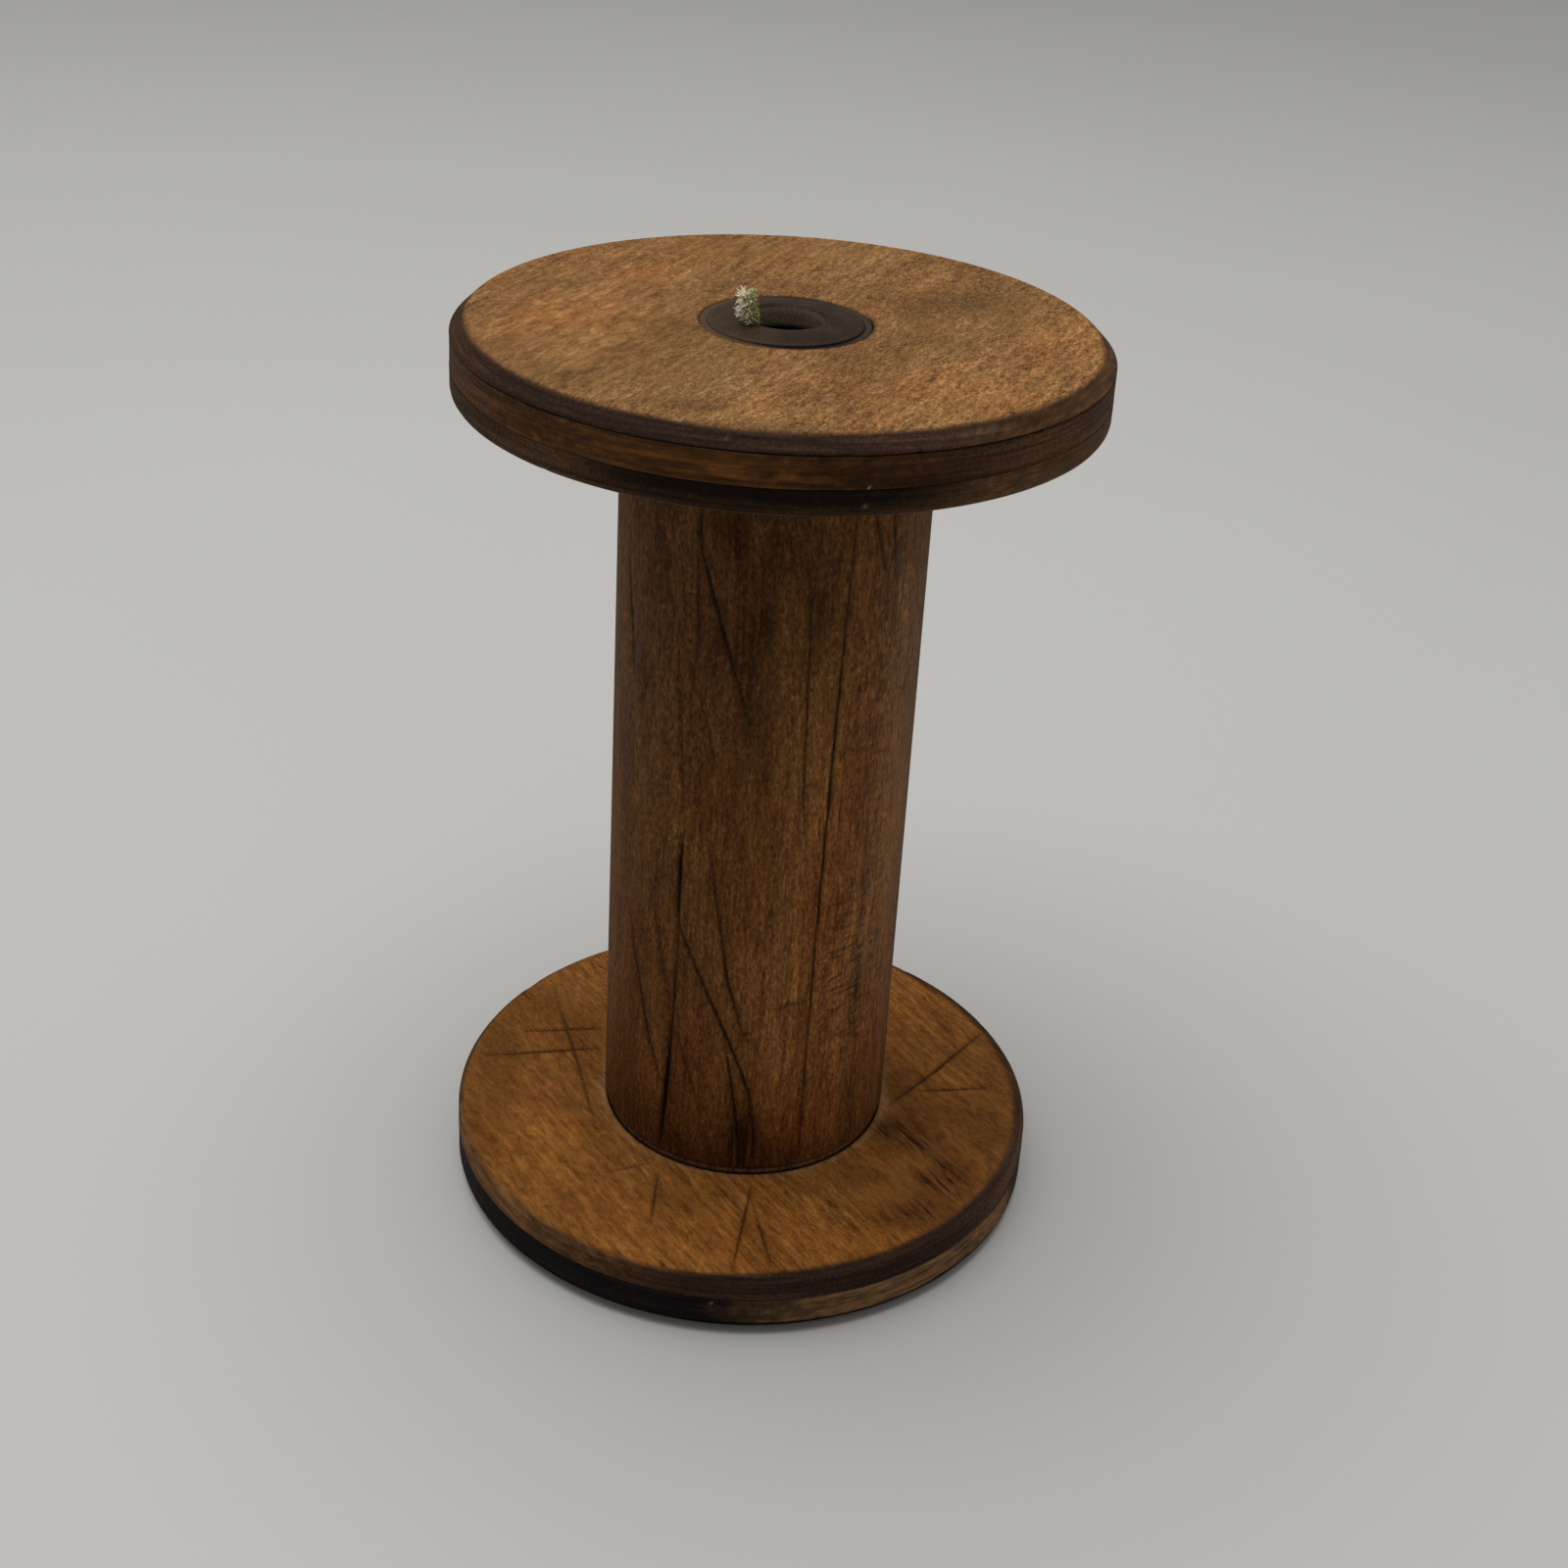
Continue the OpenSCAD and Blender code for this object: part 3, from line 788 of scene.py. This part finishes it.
plyWorn = {
    # where the rim's tone starts and is full, in mm inside the head's radius
    "rimBand": {"outer": (4.1, 1.6), "middle": (3.6, 1.6), "inner": (1.9, 0.7)},
    # the lower inner ply is rubbed on one side: turn, band of the cosine; how far both places move in
    "rubbedSide": (math.pi / 2 - 0.3, (0, 0.6)), "rubbedReach": (2.4, 1.4),
    # outer plies: rise with the bevel; waver (size, seed, waves, first); sides (turn, band, reach)
    "bevelRise": 1.1, "bevelWaver": (0.25, 15, 20, 3),
    "bevelSides": [(-0.3, (0.2, 0.8), 0.7), (1.1, (0.6, 0.9), 0.35)],
    # face marks start at this distance from the flange
    "faceBand": (0.2, 0.8),
    # seams: depth, half height, tone; waver: mean, swing, seed, waves, first, least
    "seams": [(outerDepth, 0.26, 0.55), (middleDepth, 0.22, 0.12)], "seamWaver": (0.55, 0.5, 21, 24, 3, 0.15),
    "seamCut": 0.15, "seamReach": 1, "seamTone": 0.9,
    # slow waves of the rim: mean and swing in mm, number
    "wave": (0.08, 0.05), "waves": 12,
    # round the socket: dust (distance, half width, tone), its start, face and waver; line (half width, tone)
    "dust": (1.1, 1.2, 0.34), "dustBand": (0, 0.6), "dustFace": (0.6, 0.2), "dustWaver": (0.6, 0.5, 33, 14),
    "socketLine": (0.25, 0.9),
    # shadows: least and added tone; under the upper head: side, fade, depths; at the flange: side, distance
    "shadowTone": (0.1, 0.85), "underSide": (0, (0.8, 0.97)), "underFade": 0.75, "fadeBand": (2, 0.6),
    "flangeSide": (0.5, (-0.2, 0.5)), "flangeBand": (0.75, 0.3),
    "columns": 720, "crowd": 0.25,
}


def plyWear(node, kind, level):
    # worn edges, rim dents, face cuts and stains of one ply
    info = {**noMarks, **headMarks[node]}
    worn = plyWorn

    def rimPlace(r, depth, angle):
        # share of the rim's tone
        start, full = worn["rimBand"][kind]
        if node == "lower_inner_ply":
            rubbed = towards(angle, *worn["rubbedSide"])
            startIn, fullIn = worn["rubbedReach"]
            start, full = start + startIn * rubbed, full + fullIn * rubbed
        if kind == "outer":
            size, *waves = worn["bevelWaver"]
            inwards = sum(reach * towards(angle, turn, band) for turn, band, reach in worn["bevelSides"])
            r = r + worn["bevelRise"] * depth + size * ripple(angle, *waves) + inwards
        return smoothStep(headR - r, start, full)

    def dustAndDark(r, depth, angle, onRim):
        # pale dust and dark line round the socket, shadow under the upper head and round the flange
        least, added = worn["shadowTone"]
        if kind == "middle":
            return 0, 0
        if kind == "outer":
            shaded = least + added * towards(angle, *worn["flangeSide"])
            return 0, shaded * smoothStep(r - flangeHoleR, *worn["flangeBand"])
        away, width, tone = worn["dust"]
        ring = bell(r, socketR + away, width) * smoothStep(r - socketR, *worn["dustBand"])
        onInner = smoothStep(innerDepth - depth, *worn["dustFace"])
        dust = tone * waver(angle, *worn["dustWaver"]) * ring * onInner
        width, tone = worn["socketLine"]
        dark = tone * bell(r, socketR, width)
        if node == "upper_inner_ply":
            shaded = least + added * towards(angle, *worn["underSide"])
            start, full = worn["fadeBand"]
            fade = worn["underFade"] * smoothStep(depth, middleDepth + start, innerDepth - full)
            dark = dark + shaded * onRim * (1 - fade)
        return dust, dark

    def wear(r, z, angle):
        depth = np.abs(level - z) + 0 * angle
        x, y = r * np.sin(angle), -r * np.cos(angle)
        degrees = np.degrees(angle)
        onRim = rimPlace(r, depth, angle)
        onFace = (1 - onRim) * smoothStep(r - flangeHoleR, *worn["faceBand"])
        sunk, shade = strokes(x, y, info["cuts"])
        seams = sum(tone * bell(depth, seam, height) for seam, height, tone in worn["seams"])
        seams = seams * waver(angle, *worn["seamWaver"])
        hollow = dents(angle, depth, info["seed"])
        wave = waver(angle, *worn["wave"], info["seed"], worn["waves"])
        groove = worn["seamCut"] * seams * smoothStep(headR - r, worn["seamReach"], 0)
        carved = onRim * (hollow + wave + groove) + onFace * sunk
        scuffs = [(math.radians(a), d, w / headR, h, s) for a, d, w, h, s in info["scuffs"]]
        dust, dark = dustAndDark(r, depth, angle, onRim)
        rimShade = seams * worn["seamTone"] + spots(degrees, depth, info["shadows"])
        light = onFace * strokes(x, y, info["scratches"])[1]
        marks = {
            # face cuts, seam lines, the dark socket line, and painted shade on the rims and round the flange
            "cut": onFace * shade + onRim * rimShade + dark,
            "soil": spots(x, y, info["soils"]) * (1 - onRim),
            "calm": spots(x, y, info["calm"]),
            # painted light
            "glow": spots(x, y, info["glows"]),
            "scuff": onRim * spots(angle, depth, scuffs) + light + dust,
        }
        marks = {key: np.clip(values, 0, 1) for key, values in marks.items()}
        # lift is painted light on the rims' sides
        return carved, {**marks, "rim": onRim, "lift": spots(degrees, depth, info["lights"])}

    return wear


def makeHeads():
    angles = turnAngles(plyWorn["columns"], plyWorn["crowd"])
    for node in grainOf:
        side, kind, _ = node.split("_")
        level = topFace if side == "upper" else 0
        name = f"{side}_{kind}_disc"
        piece = turned(name, plyCorners(kind, level), angles, plyWear(node, kind, level))
        finishPiece(piece, node, oldWood(name + "Wood", headLook(node)))


# Bushes: cast iron, rim, dome and rounded mouth

ironLook = {
    "rough": 0.6, "bump": 0.35, "bumpDepth": 0.2, "gloss": 0.09, "metal": 0.1,
    "stops": shades((0.3, 27, 18, 12), (0.5, 42, 30, 20), (0.68, 60, 45, 31)),
    # the grime colour also lays painted shade, the wall colour is painted light, and the dust colour also
    # paints a highlight
    "rust": tint(74, 48, 32), "grime": tint(13, 9, 7), "dust": tint(84, 63, 43), "wall": tint(108, 93, 78),
    # noises: size in mm, detail, roughness, shift
    "mottle": (6, 4, 0.6, 0), "grit": (0.7, 3, 0.6, 0.4), "freckles": (2.4, 3, 0.6, 0.9),
    # shares of mottle and grit in the colour, of grit and mottle in the bump
    "mix": (0.6, 0.4), "middle": 0.5, "rustBand": (0.58, 0.72), "rustShare": 0.5,
    "wallBand": (0.3, 0.6, 0.55, 1.0), "dustBand": (0.3, 0.6, 0.5, 1.0), "sheenMix": (0.4, 0.2),
}


def ironMaterial():
    # browned iron: soft mottling, fine pits and rust freckles, with grime, painted shade, wood dust and a
    # worn bore as marks
    # the dust mark also holds a painted highlight, and the worn mark paints the bore's wall lighter as
    # painted light
    look = ironLook
    fixed = {"Metallic": look["metal"], "Specular IOR Level": look["gloss"]}
    material, shader, place = newMaterial("bushIron", **fixed)
    mottle, grit, freckles = (
        noise(place, (0, 0, 0), (size, size, size), *rest)
        for size, *rest in (look["mottle"], look["grit"], look["freckles"]))
    colour = mixed((mottle, grit), look["mix"]).ramp(look["stops"])
    rust = freckles.band(*look["rustBand"])
    colour = colour.blend(look["rust"], rust * look["rustShare"])
    # the worn mark paints the bore's upper wall lighter: wear and painted light
    colour = colour.blend(look["wall"], mark(place, "worn") * grit.band(*look["wallBand"]))
    # dust, with a painted highlight along the dome's edge
    colour = colour.blend(look["dust"], mark(place, "dust") * grit.band(*look["dustBand"]))
    # grime, and painted shade on the rim, in the step and deep in the bore
    colour = colour.blend(look["grime"], mark(place, "soil"))
    feed(shader, "Base Color", colour)
    sheen = mixed((grit - look["middle"], rust), look["sheenMix"], look["rough"])
    feed(shader, "Roughness", sheen)
    height = mixed((grit, mottle), look["mix"])
    feed(shader, "Normal", height.bump(look["bump"], look["bumpDepth"]))
    return material


bushWorn = {
    # what counts as flange: height below the lip and distance from the bore, in mm
    "flangeDepth": 3, "flangeStart": 0.5,
    # the dome: where its wear starts and is full, from the bore and from the flange's edge
    "domeStart": (1.2, 2), "domeEnd": (0.5, 1),
    # turning rings: depth, turns per mm, waver, seed, waves; pits: depth, twist, seed, waves, first
    "rings": (0.02, 5.2, 0.6, 9, 5), "pits": (0.06, 0.8, 11, 16, 3),
    # from the dome's foot: the sunk rim; half widths of the step's painted shade and the edge's painted
    # highlight, place of the edge
    "rimBand": (-0.15, 0.1), "stepWidth": 0.2, "edgeWidth": 0.3, "edgePlace": -0.55,
    # painted light on the bore's worn upper wall and painted shade deep down: heights below the lip, reach
    # round the mouth
    "wallBand": (0.5, 1.4), "wallReach": 0.8, "deepBand": (4.3, 5.1), "deepReach": 1,
    # sides: turn, band of the cosine
    "left": (-1.5, (-0.2, 0.7)), "right": (1.7, (0.3, 0.9)), "front": (0, (0.2, 0.75)),
    # grime and painted shade on the rim: even, more in front, off at left and right; painted shade in the
    # step: tone, off at left;
    # dust on the rim's right and the dome's left, and a painted highlight on the edge
    "rimSoil": (0.45, 0.5, 0.9, 0.6), "stepSoil": (0.85, 0.75), "dustTones": (0.5, 0.25, 0.3),
    "columns": 200, "domeShares": (0.2, 0.8, 4), "mouthShare": 0.9, "leastDrop": 0.02, "stepIn": 0.05,
}


def bushCorners(crest, way):
    # outline by height below the lip: radius, height, rounding of the corner, step along the side after it;
    # way is 1 for a bush that hangs from its lip and -1 for one that stands on it
    j = joinery
    domeEnd = flangeR - j["rimW"]
    crestR = boreR + j["mouthR"]
    length = abs(crest - (bushEnd if way > 0 else lowerBushEnd))
    rim = j["lipRise"]
    fall = rim - j["rimStep"]
    share = np.linspace(*bushWorn["domeShares"])
    domeR = crestR + share * (domeEnd - crestR)
    sag = ((domeEnd - crestR) ** 2 + fall ** 2) / (8 * j["domeR"])
    domeDrop = np.maximum(share * fall - 4 * sag * share * (1 - share), bushWorn["leastDrop"])
    outline = [(boreR, length, 0.3, 0.6), (boreR, 0, j["mouthR"] * bushWorn["mouthShare"], 0.6)]
    outline += [(r, drop, 0.9, 0.5) for r, drop in zip(domeR, domeDrop)]
    outline += [
        (domeEnd, fall, 0.1, 0.1), (domeEnd + bushWorn["stepIn"], rim, 0.02, 0.3), (flangeR, rim, 0.25, 0.6),
        (flangeR, rim + j["flangeT"], 0.1, 2), (j["sleeveR"], rim + j["flangeT"], 0.1, 3),
        (j["sleeveR"], length, 0.3, 1),
    ]
    return [(r, crest - way * drop, rounding, step) for r, drop, rounding, step in outline]


def bushWear(crest):
    # fine turning rings and pits on the dome, grime and painted shade on the sunk rim, painted shade down the
    # hole, dust on both sides
    # the bore's upper wall gets painted light, and a painted highlight runs along the dome's edge
    worn = bushWorn
    foot = flangeR - joinery["rimW"]

    def wear(r, z, angle):
        drop = np.abs(crest - z)
        outside = r - boreR
        near = (drop < worn["flangeDepth"]) & (outside > worn["flangeStart"])
        onDome = smoothStep(outside, *worn["domeStart"]) * smoothStep(flangeR - r, *worn["domeEnd"]) * near
        size, pitch, swing, *waves = worn["rings"]
        rings = size * (1 + np.sin(r * pitch + swing * ripple(angle, *waves)))
        size, twist, *waves = worn["pits"]
        pits = size * np.clip(ripple(angle + twist * r, *waves), 0, 1)
        left, right, front = (towards(angle, *worn[side]) for side in ("left", "right", "front"))
        sunkRim = smoothStep(r - foot, *worn["rimBand"]) * near
        step = bell(r, foot, worn["stepWidth"]) * near
        edge = bell(r, foot + worn["edgePlace"], worn["edgeWidth"]) * near
        boreShade = smoothStep(drop, *worn["deepBand"]) * (outside < worn["deepReach"])
        wall = smoothStep(drop, *worn["wallBand"]) * (outside < worn["wallReach"])
        even, added, offLeft, offRight = worn["rimSoil"]
        rimSoil = (even + added * front) * sunkRim * (1 - offLeft * left - offRight * right)
        tone, off = worn["stepSoil"]
        rightDust, domeDust, edgeHighlight = worn["dustTones"]
        dust = sunkRim * (left + rightDust * right) + domeDust * onDome * left + edgeHighlight * edge
        marks = {
            # grime and painted shade on the rim, painted shade in the step and deep in the bore
            "soil": np.clip(rimSoil + tone * step * (1 - off * left) + boreShade, 0, 1),
            # dust, and a painted highlight along the dome's edge
            "dust": np.clip(dust, 0, 1),
            # the bore's worn upper wall, painted lighter as painted light
            "worn": wall,
        }
        return onDome * (rings + pits), marks

    return wear


def makeBushes():
    iron = ironMaterial()
    angles = turnAngles(bushWorn["columns"])
    for node, crest, way in (("upper_bush", bushCrest, 1), ("lower_bush", lowerBushCrest, -1)):
        piece = turned(node + "_casting", bushCorners(crest, way), angles, bushWear(crest))
        finishPiece(piece, node, iron)


# Yarn tuft: two frayed clumps, one above the other, on a few longer strands

tuftLook = {
    "seed": 31, "steps": 7, "sides": 5, "keepOut": 8.9, "margin": 0.2,
    # clumps: strands, centre in shares of the size, lean, length and thickness in mm
    "clumps": [(190, (0.06, 0.0, 0.68), (-0.15, 0, 0.25), (0.7, 1.7), (0.17, 0.32)),
               (190, (0.1, -0.05, 0.36), (-0.2, -0.1, -0.1), (0.7, 1.7), (0.17, 0.32)),
               (60, (0.24, -0.1, 0.12), (0.2, -0.2, -0.2), (0.6, 1.5), (0.14, 0.26))],
    # spread of the roots and its limit in mm, stray of the directions, curl of the strands
    "spread": 0.75, "widest": 1.5, "stray": 0.55, "curl": (0.2, 0.7),
    # thickness: share at the root, what is lost towards the tip, power of the loss
    "taper": (1.05, 0.85, 1.5), "ringSide": (0.3, 0.9, 0.1), "tiny": 1e-9,
    # share of green: in the middle, its rise to the right, its spread
    "hue": (0.45, 1.1, 0.22),
    "cream": tint(242, 232, 208), "green": tint(146, 146, 76), "shadow": tint(120, 118, 74),
    "fluffSize": (0.5, 0.5, 0.5), "shadowBand": (0.52, 0.7), "shadowShare": 0.3, "rough": 0.9, "sheen": 0.3,
}


def yarnMaterial():
    look = tuftLook
    fixed = {"Roughness": look["rough"], "Sheen Weight": look["sheen"]}
    material, shader, place = newMaterial("frayedYarn", **fixed)
    fluff = noise(place, (0, 0, 0), look["fluffSize"], 2)
    colour = mark(place, "hue").between(look["cream"], look["green"])
    colour = colour.blend(look["shadow"], fluff.band(*look["shadowBand"]) * look["shadowShare"])
    feed(shader, "Base Color", colour)
    return material


def makeTuft():
    # a strand starts in its clump, leads outwards, curls and tapers; a ring of points is carried along it
    look = tuftLook
    rng = np.random.default_rng(look["seed"])
    low, high = (np.array(corner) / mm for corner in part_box("yarn_tuft"))
    size = high - low
    foot = (low + high) / 2 * [1, 1, 0] + low * [0, 0, 1]
    t = np.linspace(0, 1, look["steps"])[None, :, None]
    paths = []
    thicks = []
    for count, centre, lean, lengths, widths in look["clumps"]:
        offset = np.clip(rng.normal(0, look["spread"], (count, 1, 3)), -look["widest"], look["widest"])
        way = rng.normal(0, look["stray"], (count, 1, 3)) + offset + lean
        way /= np.linalg.norm(way, axis=2)[..., None]
        curl = np.cross(way, rng.normal(0, 1, (count, 1, 3))) * rng.uniform(*look["curl"], (count, 1, 1))
        length = rng.uniform(*lengths, (count, 1, 1))
        paths.append(foot + size * centre + offset + length * (way * t + curl * t ** 2))
        thicks.append(rng.uniform(*widths, (count, 1)))
    path = np.concatenate(paths)
    path[..., 2] = np.clip(path[..., 2], low[2] + look["margin"], high[2] - look["margin"])
    out = np.linalg.norm(path[..., :2], axis=2, keepdims=True)
    path[..., :2] *= np.maximum(out, look["keepOut"]) / out
    along = np.gradient(path, axis=1)
    along /= np.linalg.norm(along, axis=2)[..., None] + look["tiny"]
    side = np.cross(along, look["ringSide"])
    side /= np.linalg.norm(side, axis=2)[..., None] + look["tiny"]
    third = np.cross(along, side)
    root, loss, power = look["taper"]
    thick = np.concatenate(thicks) * (root - loss * t[..., 0] ** power)
    spin = np.linspace(0, 2 * math.pi, look["sides"], endpoint=False)[None, None, :, None]
    ring = path[:, :, None] + thick[..., None, None] * (
        np.cos(spin) * side[:, :, None] + np.sin(spin) * third[:, :, None])
    index = np.arange(ring[..., 0].size).reshape(ring.shape[:3])
    ahead = np.roll(index, -1, 2)
    walls = np.stack([index[:, :-1], ahead[:, :-1], ahead[:, 1:], index[:, 1:]], -1).reshape(-1, 4)
    tips = np.concatenate([index[:, 0, ::-1], index[:, -1]])
    across = (path[:, -1, 0] - foot[0]) / size[0]
    middle, rise, spread = look["hue"]
    hue = np.clip(middle + rise * across + rng.normal(0, spread, len(path)), 0, 1)
    mesh = bpy.data.meshes.new("frayed_tuft")
    mesh.from_pydata((ring.reshape(-1, 3) * mm).tolist(), [], walls.tolist() + tips.tolist())
    carry(mesh, {"hue": np.broadcast_to(hue[:, None, None], index.shape)})
    mesh.polygons.foreach_set("use_smooth", np.ones(len(mesh.polygons), bool))
    return finishPiece(placed("frayed_tuft", mesh), "yarn_tuft", yarnMaterial())


# Stage: pale floor, soft light from above, camera at the photograph's angle

stageLook = {
    "floorSize": 8.0, "floorColours": (tint(190, 189, 186), tint(196, 195, 192)), "floorRough": 0.8,
    "cloudSize": (400, 400, 400), "worldColour": tint(214, 214, 212), "worldStrength": 0.55,
    # lamp: place in m, size in m, watts
    "lamps": {"overhead": ((-0.25, 0.08, 1.9), 2.0, 28.0)},
    "lookAt": (0, 0, 0.13),
}
# camera in the image of 1600 by 1600 pixels: lens in pixels, optical centre, place in mm, turns in degrees
cameraLook = {"frame": 1600, "lens": 2270.6, "centre": (830.0, 662.7), "distance": 490.6, "height": 386.9,
              "yaw": 1.31, "pitch": 25.82, "roll": 3.75, "sensor": 36.0, "nearest": 0.01, "farthest": 50}


def makeStage():
    # a square floor, an even grey world and a large soft disc of light
    look = stageLook
    half = look["floorSize"] / 2
    mesh = bpy.data.meshes.new("pale_floor")
    corners = [(-half, -half, 0), (half, -half, 0), (half, half, 0), (-half, half, 0)]
    mesh.from_pydata(corners, [], [(0, 1, 2, 3)])
    floor = placed("pale_floor", mesh)
    material, shader, place = newMaterial("paleFloor", Roughness=look["floorRough"])
    cloud = noise(place, (0, 0, 0), look["cloudSize"], 2)
    feed(shader, "Base Color", cloud.between(*look["floorColours"]))
    floor.data.materials.append(material)
    world = bpy.data.worlds.new("softRoom")
    bpy.context.scene.world = world
    world.use_nodes = True
    sky = world.node_tree.nodes["Background"]
    sky.inputs["Color"].default_value = look["worldColour"]
    sky.inputs["Strength"].default_value = look["worldStrength"]
    for name, (spot, size, watts) in look["lamps"].items():
        light = bpy.data.lights.new(name, "AREA")
        light.shape = "DISK"
        light.size = size
        light.energy = watts
        lamp = placed(name, light)
        lamp.location = spot
        lamp.rotation_euler = (Vector(look["lookAt"]) - Vector(spot)).to_track_quat("-Z", "Y").to_euler()
    print("stage set:", len(look["lamps"]), "lamp")


def makeCamera():
    # yaw and pitch give the direction of the view, and roll turns its right and up about it
    look = cameraLook
    yaw, pitch, roll = (math.radians(look[key]) for key in ("yaw", "pitch", "roll"))
    ahead = Vector((math.sin(yaw) * math.cos(pitch), math.cos(yaw) * math.cos(pitch), -math.sin(pitch)))
    level = Vector((math.cos(yaw), -math.sin(yaw), 0))
    upright = level.cross(ahead)
    right = math.cos(roll) * level + math.sin(roll) * upright
    up = math.cos(roll) * upright - math.sin(roll) * level
    data = bpy.data.cameras.new("photoCamera")
    data.sensor_width = look["sensor"]
    data.lens = look["lens"] / look["frame"] * look["sensor"]
    data.shift_x = 0.5 - look["centre"][0] / look["frame"]
    data.shift_y = look["centre"][1] / look["frame"] - 0.5
    data.clip_start = look["nearest"]
    data.clip_end = look["farthest"]
    camera = placed("photoCamera", data)
    turn = Matrix((right, up, -ahead)).transposed().to_4x4()
    camera.matrix_world = Matrix.Translation((0, -look["distance"] * mm, look["height"] * mm)) @ turn
    bpy.context.scene.camera = camera
    print("camera set")


bpy.context.scene.view_settings.view_transform = "Standard"
makeCamera()
makeStage()
makeBarrel()
makeHeads()
makeBushes()
makeTuft()

bpy.context.view_layer.update()
